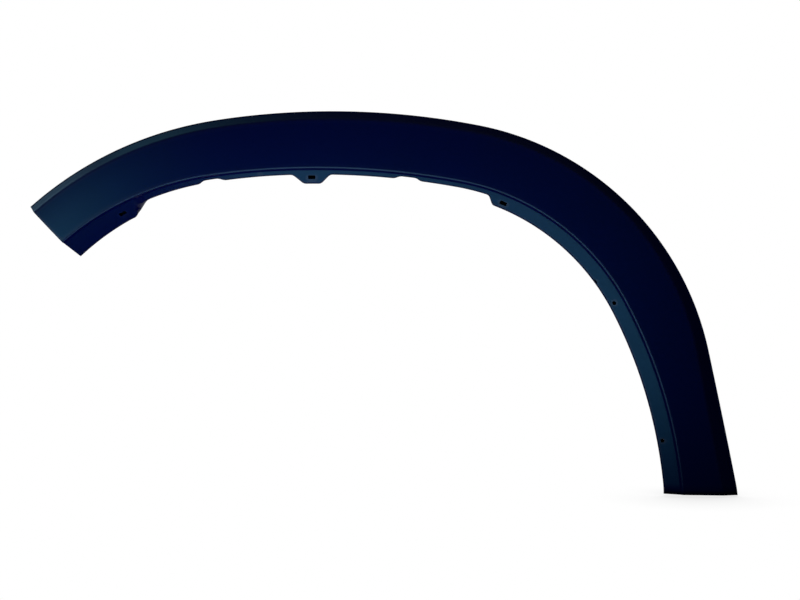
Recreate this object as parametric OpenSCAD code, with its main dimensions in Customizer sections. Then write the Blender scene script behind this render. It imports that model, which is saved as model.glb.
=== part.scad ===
// Front left wheel arch moulding: one injection-moulded strip that trims the edge of a wheel opening.
// It is drawn as fitted to the car: X runs rearwards, Y runs in towards the body and Z is up.
// Every cross-section lies on a ray from the wheel centre. Its two main lines are the opening line,
// where the face turns in to the flange, and the outer edge, which lies against the body panel.
// Angles round the wheel are in degrees, from 0 straight to the rear to 90 straight up.

/* [Opening line] */
// Height of the line's top above the wheel centre
opening_h = 424; // [410:1:440]
// How far the line's top lies behind the wheel centre
opening_shift = -40; // [-50:1:-30]
// Radius over the crown
opening_crown_r = 945; // [900:5:1000]
// Radius of the front shoulder
opening_front_r = 362; // [345:1:380]
// Radius of the rear shoulder
opening_rear_r = 286; // [276:1:296]
// Radius down the leg
opening_leg_r = 598; // [540:1:660]
// Direction in which the crown arc passes into the front arc
opening_front_joint = 98; // [96:0.1:100]
// Direction in which the crown arc passes into the rear arc
opening_rear_joint = 79.5; // [78:0.1:81]
// Direction in which the rear arc passes into the leg arc
opening_leg_joint = 27.9; // [26:0.1:30]

/* [Outer edge] */
// Width of the face over the crown, from the opening line to the outer edge
crown_face_w = 69.5; // [62:0.5:76]
// How far the edge's top lies behind the wheel centre
outer_shift = -21.9; // [-30:0.1:-14]
// Radius over the crown
outer_crown_r = 930; // [890:5:980]
// Radius of the front shoulder
outer_front_r = 485; // [465:1:505]
// Radius of the rear shoulder
outer_rear_r = 353; // [345:1:361]
// Radius down the leg, which is almost straight
outer_leg_r = 12000; // [8000:500:20000]
// Direction in which the crown arc passes into the front arc
outer_front_joint = 99; // [97:0.1:101]
// Direction in which the crown arc passes into the rear arc
outer_rear_joint = 79; // [77.5:0.1:80.5]
// Direction in which the rear arc passes into the leg
outer_leg_joint = 12.1; // [11:0.1:13]

/* [Ends and sweep] */
// Angle round the wheel of the front end's cut, on the opening line
front_end = 136.35; // [132:0.05:138]
// How far the cut stands back at the outer edge, in degrees round the wheel
front_skew = 0.15; // [-0.5:0.05:1]
// Lean of that cut, which runs further forward behind the face
front_lean = 1.5; // [0:0.5:6]
// Height of the foot's cut above the wheel centre
foot_h = 30.5; // [20:0.5:60]
// How much lower that cut is at the outer edge
foot_fall = 1; // [0:0.5:3]
// Lean of the foot's cut, which runs further down behind the face
foot_lean = 5; // [0:0.5:8]
// Radius in plan of the front part, which sweeps in towards the nose of the car
sweep_r = 1150; // [900:10:2000]
// How far ahead of the wheel centre that sweep starts
sweep_start = 130; // [90:5:180]
// Height over which the foot rolls in
foot_roll_h = 12; // [6:1:20]
// How far the foot rolls in at its cut
foot_roll = 2.5; // [0.5:0.5:4]

/* [Face and rim] */
// Wall thickness
wall = 2.6; // [2.2:0.1:3]
// Radius of the slight crown across the face
face_r = 420; // [300:10:800]
// Angle by which the face leans out from the opening line
face_tilt = 3; // [1:0.5:5]
// Width of the bevel along the outer edge
bevel_w = 9.5; // [8:0.5:12]
// Width of the bevel at the foot
bevel_foot_w = 17; // [12:0.5:20]
// Width of the flat land outside the bevel, over the crown
land_w = 1.5; // [1:0.5:2.5]
// Width of that land down the leg
land_leg_w = 3; // [1:0.5:4]
// Depth of the land behind the opening line
land_depth = 12; // [10:0.5:14]
// Height of the rim's side wall, from the land to the body panel
rim_h = 4; // [3.5:0.5:6]
// Length of the soft corner where the bevel starts
bevel_blend = 2.5; // [1:0.5:4]
// Length of the rounded nose along the opening line
nose_blend = 2.1; // [1:0.1:2.2]

/* [Flange] */
// Depth of the step behind the opening line
step_h = 4.5; // [3.5:0.5:6]
// How far the step leans in towards the wheel
step_in = 1.8; // [1.2:0.1:2.4]
// Slant of the flange behind the face, over the crown and down the leg
rear_slant = 36; // [30:1:42]
// Slant of the flange at the front end
front_slant = 54; // [46:1:58]
// Width of the flange's lip over the crown, seen from outside
lip_w = 7.6; // [6.5:0.1:9]
// Width of the lip where it meets the wide front flange
front_lip_w = 8.7; // [7:0.1:10]
// Width of the flange where it starts behind the crown
leg_flange_w = 17; // [15:0.5:20]
// Width of the flange at the foot
foot_flange_w = 19.8; // [17:0.1:22]
// Width of the flange at the front clip slot
front_flange_w = 20; // [18:0.5:22]
// Width of the flange at the front end
front_end_flange_w = 22.3; // [19:0.1:24]

/* [Clip tabs] */
// Angle round the wheel of the crown tab
crown_tab_at = 96.4; // [93:0.1:99]
// Width of the crown tab, from the opening line
crown_tab_w = 18; // [16:0.5:20]
// Length of the crown tab's free edge
crown_tab_l = 22; // [18:0.5:28]
// Run of each slanting end of the crown tab
crown_tab_run = 12; // [6:0.5:14]
// Angle round the wheel at which the leg's wide flange starts
leg_flange_at = 66.2; // [64.5:0.1:69]
// Run of its slanting end
leg_flange_run = 9.5; // [6:0.5:12]
// Angle round the wheel at which the front's wide flange starts
front_flange_at = 124; // [122:0.1:125]
// Run of its curled end
front_flange_run = 27; // [22:1:30]
// How hollow the edge of that end is
curl_hollow = 1.3; // [1:0.1:1.6]
// Extra steepness with which that end turns in, as depth per width
curl_steep = 0.9; // [0.4:0.1:1.4]
// Softness of the corners along the flange's edge
edge_soft = 2.5; // [1:0.5:3]

/* [Clip slots and sleeves] */
// Length of a clip slot
slot_l = 8.6; // [7:0.1:10]
// Width of a clip slot, along the slant of the flange
slot_w = 5; // [4:0.1:6]
// Angle round the wheel of the front slot
front_slot_at = 126.9; // [126.5:0.1:129]
// Angle round the wheel of the rear slot
rear_slot_at = 64.1; // [62:0.1:64.2]
// Distance of the slots' centres from the opening line, seen from outside
slot_in = 10.6; // [10:0.1:11.5]
// Length of the sleeve behind each slot and screw hole, beyond the flange's wall
sleeve_l = 7; // [2:0.5:8]
// Wall thickness of a sleeve
sleeve_wall = 1.6; // [1.2:0.1:2]

/* [Screw holes and relief] */
// Diameter of a screw hole
screw_d = 4.8; // [4:0.1:6]
// Angle round the wheel of the upper screw hole
upper_screw_at = 39.2; // [36:0.1:42]
// Angle round the wheel of the lower screw hole
lower_screw_at = 13.9; // [12:0.1:18]
// Distance of the upper hole from the opening line, seen from outside
upper_screw_in = 12; // [9:0.1:13]
// Distance of the lower hole from the opening line, seen from outside
lower_screw_in = 13.7; // [9:0.1:14]
// Angle round the wheel of the small pocket beside the flange's edge
pocket_at = 43.9; // [42:0.1:47]
// Length of the pocket
pocket_l = 5; // [3:0.5:8]
// Angle round the wheel of the front relief in the lip
front_relief_at = 112.3; // [110:0.1:114]
// Length of the front relief
front_relief_l = 24; // [18:1:28]
// Angle round the wheel of the rear relief in the lip
rear_relief_at = 80.4; // [79:0.1:83]
// Length of the rear relief
rear_relief_l = 26; // [18:1:30]
// Depth of both reliefs
relief_depth = 3; // [1.5:0.5:3.5]
// Run of a relief's slanting ends
relief_run = 6.5; // [4:0.5:8]

/* [Clip seats and ribs] */
// Number of clip seats on the back of the face
seat_count = 6; // [3:1:7]
// Length of a clip seat along the moulding
seat_l = 26; // [20:1:32]
// Width of a clip seat across the face
seat_w = 20; // [16:1:24]
// Thickness of a clip seat's walls
seat_wall = 2; // [1.5:0.1:2.5]
// Width of the keyhole slot in a clip seat
seat_slot_w = 8; // [6:0.5:11]
// Gap between a clip seat's top and the body panel
seat_gap = 1.5; // [1:0.5:3]
// Ribs between two clip seats
ribs_between = 1; // [1:1:3]
// Thickness of a rib
rib_t = 1.6; // [1.2:0.1:2.2]

/* [Hidden] */

// Regular spacing of the cross-sections, in degrees round the wheel
section_step = 1.6;
// Closer spacing along a slanting end of the flange, in mm of its run
close_step = 1.8;
// How deep ribs and clip seats are sunk into the wall that carries them
sunk = 0.8;
// How far a cut runs past the surface on each side
past = 6;
// Shortest stretch of flange beyond the crease
crease_margin = 0.4;
// Points that round a soft corner
blend_points = 3;
// Part of the opening line's ends kept clear of clip seats, in degrees
seat_margin = 9;

// Where the cross-section changes along the moulding: angle round the wheel where each change starts,
// and the degrees over which it runs
lip_from = 104;
slant_from = 100;
slant_over = 28;
land_from = 30;
land_over = 40;
bevel_over = 50;

// Unit vector, length and direction helpers in the plane of the wheel
function dir(a) = [cos(a), sin(a)];
function angle_of(p) = atan2(p[1], p[0]);
function unit(v) = v / norm(v);
function mix(a, b, t) = a + (b - a) * t;
function clamp01(t) = min(1, max(0, t));
function ease(t) = let (c = clamp01(t)) c * c * (3 - 2 * c);

// Four arcs that pass smoothly into each other: front shoulder, crown, rear shoulder and leg.
// Each is a centre, a radius and the angle round the wheel at which the next one takes over.
function edge_arcs(top, r, joint) =
    let (
        crown = top - [0, r[1]],
        front = crown + (r[1] - r[0]) * dir(joint[0]),
        rear = crown + (r[1] - r[2]) * dir(joint[1]),
        leg = rear + (r[2] - r[3]) * dir(joint[2])
    )
    [
        [front, r[0], angle_of(front + r[0] * dir(joint[0]))],
        [crown, r[1], angle_of(crown + r[1] * dir(joint[1]))],
        [rear, r[2], angle_of(rear + r[2] * dir(joint[2]))],
        [leg, r[3], -90]
    ];

opening = edge_arcs(
    [opening_shift, opening_h],
    [opening_front_r, opening_crown_r, opening_rear_r, opening_leg_r],
    [opening_front_joint, opening_rear_joint, opening_leg_joint]
);
outer = edge_arcs(
    [outer_shift, opening_h + crown_face_w],
    [outer_front_r, outer_crown_r, outer_rear_r, outer_leg_r],
    [outer_front_joint, outer_rear_joint, outer_leg_joint]
);

// Distance from the wheel centre to an edge, along the ray at an angle
function reach(arcs, a) =
    let (
        arc = [for (candidate = arcs) if (a >= candidate[2]) candidate][0],
        along = arc[0] * dir(a)
    )
    along + sqrt(arc[1] ^ 2 - arc[0] * arc[0] + along ^ 2);

// Angle at which an edge comes down to a height
function foot_angle(arcs, h) =
    let (leg = arcs[3])
    atan2(h, leg[0][0] + sqrt(leg[1] ^ 2 - (h - leg[0][1]) ^ 2));

foot_end = foot_angle(opening, foot_h);
outer_foot_end = foot_angle(outer, foot_h - foot_fall);

// The outer edge's own angle at a cross-section, so that both edges end on the foot's cut
function outer_angle(a) =
    mix(front_end - front_skew, outer_foot_end, (front_end - a) / (front_end - foot_end));

function opening_point(a) = reach(opening, a) * dir(a);
function outer_point(a) = let (b = outer_angle(a)) reach(outer, b) * dir(b);
function face_w(a) = norm(outer_point(a) - opening_point(a));
function across(a) = unit(outer_point(a) - opening_point(a));

// Length along the opening line that one degree spans
function mm_per_degree(a) = reach(opening, a) * PI / 180;

// How far the moulding is set in towards the body at a place: the front sweep and the roll of the foot
function sweep(x) = let (ahead = max(0, -sweep_start - x)) sweep_r - sqrt(sweep_r ^ 2 - ahead ^ 2);
function roll(z) = foot_roll * max(0, 1 - (z - foot_h) / foot_roll_h) ^ 2;

// How far the cross-sections near an end lean, as run along the moulding per depth
lean_reach = 9;
function lean(a) =
    tan(front_lean) * ease(1 - (front_end - a) / lean_reach)
    - tan(foot_lean) * ease(1 - (a - foot_end) / lean_reach);

// A place on the moulding: angle round the wheel, distance out from the opening line, height off its plane
function place(a, u, h) =
    let (
        b = a - h * lean(a) / mm_per_degree(a),
        p = opening_point(b) + u * across(b)
    )
    [p[0], sweep(p[0]) + roll(p[1]) - h, p[1]];

// A slope from 0 to 1 with softened ends, used for every slanting end along the flange's edge
function area_under(x) = x < 0 ? 0 : x < 1 ? x * x / 2 : x - 1 / 2;
function soft_slope(x, soft) = (area_under(x + soft) - area_under(x - soft)) / (2 * soft);

// Each slanting end: the angle of its middle, its run, and the sign with which it rises towards the front
function ends_of(at, l, run) =
    let (half = (l + run) / 2 / mm_per_degree(at))
    [[at - half, run, 1], [at + half, run, -1]];

crown_tab_ends = ends_of(crown_tab_at, crown_tab_l, crown_tab_run);
front_relief_ends = ends_of(front_relief_at, front_relief_l - relief_run, relief_run);
rear_relief_ends = ends_of(rear_relief_at, rear_relief_l - relief_run, relief_run);
leg_flange_end = [leg_flange_at, leg_flange_run, -1];
front_flange_end = [front_flange_at, front_flange_run, 1];
slanting_ends = concat(
    crown_tab_ends, front_relief_ends, rear_relief_ends, [leg_flange_end, front_flange_end]
);

function rise(end, a) =
    soft_slope(0.5 + end[2] * (a - end[0]) * mm_per_degree(end[0]) / end[1], edge_soft / end[1]);
function hump(ends, a) = rise(ends[0], a) * rise(ends[1], a);

// Width of the flange at an angle: the lip, the crown tab, the reliefs and the two wide stretches
function lip_at(a) = mix(lip_w, front_lip_w, clamp01((a - lip_from) / (front_flange_at - lip_from)));
function leg_w(a) =
    mix(foot_flange_w, leg_flange_w, clamp01((a - foot_end) / (leg_flange_at - foot_end)));
function nose_w(a) =
    mix(front_flange_w, front_end_flange_w, clamp01((a - front_slot_at) / (front_end - front_slot_at)));
function flange_w(a) =
    let (lip = lip_at(a))
    lip
    + (crown_tab_w - lip) * hump(crown_tab_ends, a)
    - relief_depth * (hump(front_relief_ends, a) + hump(rear_relief_ends, a))
    + (leg_w(a) - lip) * rise(leg_flange_end, a)
    + (nose_w(a) - lip) * rise(front_flange_end, a) ^ curl_hollow;

// The flange slants more steeply towards the front end
function slant(a) = mix(rear_slant, front_slant, ease((a - slant_from) / slant_over));

// Past the lip, the rear end of the front flange turns in more steeply than the flange.
// The turn stops at a clear edge, given as two parts of the slanting end's run.
curl_start = 0.1;
curl_stop = [0.63, 0.74];
function curl_at(a) =
    let (
        end = front_flange_end,
        t = 0.5 + end[2] * (a - end[0]) * mm_per_degree(end[0]) / end[1],
        start = clamp01(t / curl_start),
        stop = clamp01((curl_stop[1] - t) / (curl_stop[1] - curl_stop[0]))
    )
    curl_steep * start * stop;

// Height of the face above the opening line at a distance out from it
function face_rise(u) =
    let (top = face_r * sin(face_tilt))
    sqrt(face_r ^ 2 - (u - top) ^ 2) - sqrt(face_r ^ 2 - top ^ 2);

function bevel_at(a) = mix(bevel_foot_w, bevel_w, ease((a - foot_end) / bevel_over));
function land_at(a) = mix(land_leg_w, land_w, ease((a - land_from) / land_over));
function flange_h(a, w) = -step_h - (w - step_in) * tan(slant(a));

// Corners of the outer skin across the moulding, from the rim to the flange's edge, as [out, height].
// The two crown corners of the rim share one corner of the inner skin, so it is left out there.
face_parts = [0.75, 0.5, 0.25];
function crease_w(a) = min(lip_at(a), flange_w(a) - crease_margin);
function skin_corners(a) =
    let (
        w = face_w(a),
        land = land_at(a),
        bevel_in = w - land - bevel_at(a),
        crease = crease_w(a),
        beyond = flange_w(a) - crease
    )
    concat(
        [[w, -land_depth - rim_h], [w, -land_depth], [w - land, -land_depth]],
        [[bevel_in, face_rise(bevel_in)]],
        [for (part = face_parts) [part * bevel_in, face_rise(part * bevel_in)]],
        [[0, 0], [-step_in, -step_h], [-crease, flange_h(a, crease)]],
        [[-crease - beyond, flange_h(a, crease + beyond) - beyond * curl_at(a)]]
    );

// Index of the inner corner behind each outer corner
behind = [0, 1, 1, 2, 3, 4, 5, 6, 7, 8, 9];
// Length of the soft rounding at each outer corner
softness = [0, 0.8, 0, bevel_blend, 0, 0, 0, nose_blend, 0.8, 0, 0];

// A corner drawn as a short parabola, which takes at most this share of each of its two sides
corner_share = 0.45;
function rounded(before, corner, after, length) =
    let (
        room = corner_share * min(norm(before - corner), norm(after - corner)),
        tangent = min(length, room),
        start = corner + tangent * unit(before - corner),
        stop = corner + tangent * unit(after - corner)
    )
    [
        for (i = [0:blend_points])
            let (t = i / blend_points)
            (1 - t) ^ 2 * start + 2 * t * (1 - t) * corner + t ^ 2 * stop
    ];

function outer_skin(a) =
    let (c = skin_corners(a))
    [
        for (i = [0:len(c) - 1])
            for (p = softness[i] > 0 ? rounded(c[i - 1], c[i], c[i + 1], softness[i]) : [c[i]])
                p
    ];
partners = [
    for (i = [0:len(behind) - 1])
        for (k = [0:softness[i] > 0 ? blend_points : 0])
            behind[i]
];

// The line of corners set in by a thickness, mitred at each corner
function turned(v) = [v[1], -v[0]];
function mitred(before, corner, after, t) =
    let (
        n1 = turned(unit(before - corner)),
        n2 = turned(unit(corner - after)),
        n = unit(n1 + n2)
    )
    corner + n * t / (n * n1);

// The inner skin's corners at a thickness behind the outer ones
function inner_skin(a, t) =
    let (
        c = skin_corners(a),
        bevel_run = c[2] - c[3],
        rim_corner = c[2] + bevel_run * land_at(a) / bevel_run[0],
        line = concat([c[0], rim_corner], [for (i = [3:len(c) - 1]) c[i]]),
        last = len(line) - 1
    )
    [
        for (i = [0:last])
            i == 0 ? line[0] - [t, 0]
            : i == last ? line[i] + t * turned(unit(line[i - 1] - line[i]))
            : mitred(line[i - 1], line[i], line[i + 1], t)
    ];

// Angles of the cross-sections: regular ones, and close ones along each slanting end
function sorted(list) =
    len(list) < 2 ? list
    : let (
        pivot = list[floor(len(list) / 2)],
        low = [for (x = list) if (x < pivot) x],
        high = [for (x = list) if (x > pivot) x]
    )
    concat(sorted(low), [pivot], sorted(high));
function close_angles(end) =
    let (
        reach_out = (end[1] / 2 + edge_soft) / mm_per_degree(end[0]),
        count = ceil(end[1] / close_step)
    )
    [for (i = [0:count]) end[0] + reach_out * (2 * i / count - 1)];
regular_count = ceil((front_end - foot_end) / section_step);
regular_angles = [for (i = [0:regular_count]) mix(foot_end, front_end, i / regular_count)];
curl_angles = [
    for (t = curl_stop)
        let (end = front_flange_end)
            end[0] + end[2] * (t - 0.5) * end[1] / mm_per_degree(end[0])
];
close_ones = concat(curl_angles, [for (end = slanting_ends) for (a = close_angles(end)) a]);
closest_step = 0.3;
function is_end(a) = a == foot_end || a == front_end;
function stands_clear(a) = min([for (c = close_ones) abs(a - c)]) > closest_step;
foot_rows = [for (part = [0.25, 0.5, 0.75]) foot_end + part * foot_roll_h / mm_per_degree(foot_end)];
section_angles = sorted(concat(
    [for (a = regular_angles) if (is_end(a) || stands_clear(a)) a],
    close_ones,
    foot_rows
));

function ring(a) =
    let (in = inner_skin(a, wall))
    [
        for (p = concat(outer_skin(a), [for (i = [len(in) - 1:-1:0]) in[i]]))
            place(a, p[0], p[1])
    ];

// The shell: cross-sections joined one to the next, and closed at both ends
module shell() {
    outer_count = len(partners);
    inner_count = 10;
    row = outer_count + inner_count;
    last = len(section_angles) - 1;
    inner_at = function (j) outer_count + inner_count - 1 - j;
    skins = [for (a = section_angles) for (p = ring(a)) p];
    // Each four-sided patch is split along its shorter diagonal
    sides = [
        for (s = [0:last - 1])
            for (i = [0:row - 1])
                let (
                    j = (i + 1) % row,
                    near = s * row,
                    far = near + row,
                    direct = norm(skins[near + i] - skins[far + j]),
                    crossed = norm(skins[near + j] - skins[far + i])
                )
                for (
                    face = direct < crossed
                        ? [[near + i, near + j, far + j], [near + i, far + j, far + i]]
                        : [[near + i, near + j, far + i], [near + j, far + j, far + i]]
                )
                    face
    ];
    cap = [
        for (i = [0:outer_count - 2])
            for (face = concat(
                [[i, inner_at(partners[i]), i + 1]],
                partners[i + 1] > partners[i]
                    ? [[i + 1, inner_at(partners[i]), inner_at(partners[i + 1])]]
                    : []
            ))
                face
    ];
    far_cap = [for (face = cap) [for (i = [2, 1, 0]) face[i] + last * row]];
    polyhedron(
        points = skins,
        faces = concat(sides, cap, far_cap),
        convexity = 8
    );
}

// Sets its children with X along the moulding and Z square to a surface
module facing(origin, along, up) {
    z = unit(up);
    y = unit(cross(z, along));
    x = cross(y, z);
    multmatrix([
        [x[0], y[0], z[0], origin[0]],
        [x[1], y[1], z[1], origin[1]],
        [x[2], y[2], z[2], origin[2]]
    ])
        children();
}

// Sets its children on the flange's outer skin, with Z out of the flange and Y down its slant
module on_flange(a, w) {
    here = place(a, -w, flange_h(a, w));
    along = place(a + 0.1, -w, flange_h(a, w)) - place(a - 0.1, -w, flange_h(a, w));
    down = place(a, -w - 1, flange_h(a, w + 1)) - here;
    facing(here, along, cross(along, down)) children();
}

// Sleeves stand square on the back of the flange, and the slots and holes run through them
sleeve_end = -wall - sleeve_l;
module slot_sleeve(a) {
    on_flange(a, slot_in)
        translate([-slot_l / 2 - sleeve_wall, -slot_w / 2 - sleeve_wall, sleeve_end])
            cube([slot_l + 2 * sleeve_wall, slot_w + 2 * sleeve_wall, sleeve_l + sunk]);
}
module clip_slot(a) {
    on_flange(a, slot_in)
        translate([-slot_l / 2, -slot_w / 2, sleeve_end - past])
            cube([slot_l, slot_w, 2 * past - sleeve_end]);
}

module screw_sleeve(a, w) {
    on_flange(a, w)
        translate([0, 0, sleeve_end])
            cylinder(d = screw_d + 2 * sleeve_wall, h = sleeve_l + sunk, $fn = 32);
}
module screw_hole(a, w) {
    on_flange(a, w)
        translate([0, 0, sleeve_end - past])
            cylinder(d = screw_d, h = 2 * past - sleeve_end, $fn = 48);
}

// A shallow pocket moulded into the flange, close to its edge
pocket_w = 2.4;
pocket_depth = 1.5;
pocket_margin = 0.6;
module edge_pocket() {
    on_flange(pocket_at, flange_w(pocket_at) - pocket_margin)
        translate([-pocket_l / 2, -pocket_w, -pocket_depth])
            cube([pocket_l, pocket_w, past]);
}

// Sets its children in the plane of a cross-section, with X out across the face and Y off the body
module in_section(a) {
    d = across(a);
    p = opening_point(a);
    multmatrix([
        [d[0], 0, d[1], p[0]],
        [0, -1, 0, 0],
        [d[1], 0, -d[0], p[1]]
    ])
        children();
}

// A rib across the channel behind the face, from the flange to the bevel
rib_on_flange = 4;
rib_on_bevel = 0.6;
end_rib_in = 1;
module rib(a, t) {
    line = inner_skin(a, wall - sunk);
    foot = line[7] + rib_on_flange * unit(line[8] - line[7]);
    head = mix(line[2], line[1], rib_on_bevel);
    outline = concat([head], [for (i = [2:7]) line[i]], [foot]);
    drawn = [for (p = outline) [p[0], -place(a, p[0], p[1])[1]]];
    in_section(a) linear_extrude(t) polygon(drawn);
}

// Sets its children on the back of the face, midway between the opening line and the bevel, Z to the body
module behind_face(a) {
    u = (face_w(a) - land_at(a) - bevel_at(a)) / 2;
    here = place(a, u, face_rise(u) - wall + sunk);
    along = place(a + 0.5, u, 0) - place(a - 0.5, u, 0);
    out = place(a, u + 1, face_rise(u + 1)) - place(a, u, face_rise(u));
    facing(here, along, cross(along, out)) children();
}

// A clip seat: a low box whose top has a keyhole slot, open towards the rim, for a push-in clip
module clip_seat(a) {
    h = land_depth + rim_h - wall - seat_gap + sunk;
    behind_face(a)
        difference() {
            translate([-seat_l / 2, -seat_w / 2, 0]) cube([seat_l, seat_w, h]);
            translate([-seat_l / 2 + seat_wall, -seat_w / 2 + seat_wall, -1])
                cube([seat_l - 2 * seat_wall, seat_w, h - seat_wall + 1]);
            translate([-seat_slot_w / 2, 0, 0]) cube([seat_slot_w, seat_w, h + 1]);
            cylinder(d = seat_slot_w, h = h + 1, $fn = 32);
        }
}

function seat_angle(i) = mix(front_end - seat_margin, foot_end + seat_margin, i / (seat_count - 1));

slots_at = [crown_tab_at, front_slot_at, rear_slot_at];
screws_at = [[upper_screw_at, upper_screw_in], [lower_screw_at, lower_screw_in]];

// The part's zero is the centre of the crown clip slot, on the flange's outer skin
zero = place(crown_tab_at, -slot_in, flange_h(crown_tab_at, slot_in));

module arch_moulding() {
    color([0.04, 0.07, 0.14])
        translate(-zero)
            difference() {
                union() {
                    shell();
                    for (i = [0:seat_count - 1]) clip_seat(seat_angle(i));
                    for (i = [0:seat_count - 2])
                        for (k = [1:ribs_between])
                            rib(mix(seat_angle(i), seat_angle(i + 1), k / (ribs_between + 1)), rib_t);
                    rib(foot_end + end_rib_in, rib_t);
                    rib(front_end - end_rib_in, rib_t);
                    for (a = slots_at) slot_sleeve(a);
                    for (screw = screws_at) screw_sleeve(screw[0], screw[1]);
                }
                for (a = slots_at) clip_slot(a);
                for (screw = screws_at) screw_hole(screw[0], screw[1]);
                edge_pocket();
            }
}

arch_moulding();
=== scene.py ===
"""Front left wheel arch moulding: a strip of grained black polypropylene in a white studio.

The part's frame is the fitted one: X runs rearwards, Y in towards the body and Z up, in metres.
Sizes of the moulding are in millimetres. Places along it are angles round the wheel centre, in
degrees from the rear over the top, and widths run from the opening line.
"""

import math

import bmesh
import bpy
import numpy as np
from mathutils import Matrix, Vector
from mathutils.geometry import tessellate_polygon


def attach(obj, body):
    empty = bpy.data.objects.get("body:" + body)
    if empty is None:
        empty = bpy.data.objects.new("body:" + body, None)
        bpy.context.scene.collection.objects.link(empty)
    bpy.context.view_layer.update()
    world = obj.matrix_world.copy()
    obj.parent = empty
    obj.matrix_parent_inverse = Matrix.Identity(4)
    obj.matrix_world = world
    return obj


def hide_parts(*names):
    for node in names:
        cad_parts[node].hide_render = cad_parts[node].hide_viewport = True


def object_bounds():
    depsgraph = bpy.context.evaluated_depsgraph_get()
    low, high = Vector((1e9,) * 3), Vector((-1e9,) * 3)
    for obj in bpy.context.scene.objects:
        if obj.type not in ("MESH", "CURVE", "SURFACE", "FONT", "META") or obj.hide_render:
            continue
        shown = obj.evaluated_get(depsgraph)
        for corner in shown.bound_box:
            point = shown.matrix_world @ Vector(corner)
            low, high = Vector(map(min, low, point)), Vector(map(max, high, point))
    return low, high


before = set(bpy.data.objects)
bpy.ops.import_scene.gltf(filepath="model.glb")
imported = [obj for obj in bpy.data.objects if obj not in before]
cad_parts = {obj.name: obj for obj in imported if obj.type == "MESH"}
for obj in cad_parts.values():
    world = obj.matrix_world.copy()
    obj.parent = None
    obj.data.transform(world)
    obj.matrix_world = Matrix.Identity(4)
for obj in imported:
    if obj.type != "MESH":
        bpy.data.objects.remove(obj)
solid_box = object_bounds()


# The two edge lines. The moulding follows the wheel opening of the wing: its face turns in to the
# flange at the opening line, and its outer edge lies on the panel. Each line is four arcs that
# pass smoothly into one another: front shoulder, crown, rear shoulder and leg.

CROWN_FACE_WIDTH = 69.5
OPENING_TOP = np.array([-40.0, 424.0])
OPENING_RADII, OPENING_JOINTS = (362.0, 945.0, 286.0, 598.0), (98.0, 79.5, 27.9)
OUTER_TOP = np.array([-21.9, OPENING_TOP[1] + CROWN_FACE_WIDTH])
OUTER_RADII, OUTER_JOINTS = (485.0, 930.0, 353.0, 12000.0), (99.0, 79.0, 12.1)
STRAIGHT_DOWN = -90.0
FRONT_END, FRONT_SKEW, FRONT_LEAN = 136.35, 0.15, 1.5
FOOT_HEIGHT, FOOT_FALL, FOOT_LEAN = 30.5, 1.0, 5.0
LEAN_REACH = 9.0
SWEEP_RADIUS, SWEEP_START = 1150.0, 130.0
FOOT_ROLL_HEIGHT, FOOT_ROLL = 12.0, 2.5


def direction(angle):
    return np.array([math.cos(math.radians(angle)), math.sin(math.radians(angle))])


def angle_of(point):
    return math.degrees(math.atan2(point[1], point[0]))


def mix(a, b, t):
    return a + (b - a) * t


def between_0_and_1(t):
    return min(1.0, max(0.0, t))


def ease(t):
    t = between_0_and_1(t)
    return t * t * (3 - 2 * t)


def edge_line(top, radii, joints):
    """The arcs of an edge line as (centre, radius, angle where the next arc takes over)."""
    front_r, crown_r, rear_r, leg_r = radii
    crown = top - np.array([0.0, crown_r])
    front = crown + (crown_r - front_r) * direction(joints[0])
    rear = crown + (crown_r - rear_r) * direction(joints[1])
    leg = rear + (rear_r - leg_r) * direction(joints[2])
    return [
        (front, front_r, angle_of(front + front_r * direction(joints[0]))),
        (crown, crown_r, angle_of(crown + crown_r * direction(joints[1]))),
        (rear, rear_r, angle_of(rear + rear_r * direction(joints[2]))),
        (leg, leg_r, STRAIGHT_DOWN),
    ]


opening_line = edge_line(OPENING_TOP, OPENING_RADII, OPENING_JOINTS)
outer_line = edge_line(OUTER_TOP, OUTER_RADII, OUTER_JOINTS)


def point_on(line, angle):
    """Where the ray from the wheel centre at that angle crosses an edge line."""
    centre, radius, _ = next(arc for arc in line if angle >= arc[2])
    ray = direction(angle)
    along = centre @ ray
    return (along + math.sqrt(radius**2 - centre @ centre + along**2)) * ray


def angle_at_height(line, height):
    """The angle at which the leg of an edge line comes down to a height."""
    centre, radius, _ = line[3]
    x = centre[0] + math.sqrt(radius**2 - (height - centre[1]) ** 2)
    return math.degrees(math.atan2(height, x))


foot_end = angle_at_height(opening_line, FOOT_HEIGHT)
outer_foot_end = angle_at_height(outer_line, FOOT_HEIGHT - FOOT_FALL)


def across_face(angle):
    """The opening line's point, the direction out to the outer edge, and the width between."""
    inner = point_on(opening_line, angle)
    part = (FRONT_END - angle) / (FRONT_END - foot_end)
    outer = point_on(outer_line, mix(FRONT_END - FRONT_SKEW, outer_foot_end, part))
    width = np.linalg.norm(outer - inner)
    return inner, (outer - inner) / width, width


def mm_per_degree(angle):
    return np.linalg.norm(point_on(opening_line, angle)) * math.pi / 180


def lean(angle):
    """The end cuts run on a little behind the face, so the last cross-sections lean outwards."""
    at_front = ease(1 - (FRONT_END - angle) / LEAN_REACH)
    at_foot = ease(1 - (angle - foot_end) / LEAN_REACH)
    return (
        math.tan(math.radians(FRONT_LEAN)) * at_front
        - math.tan(math.radians(FOOT_LEAN)) * at_foot
    )


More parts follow.
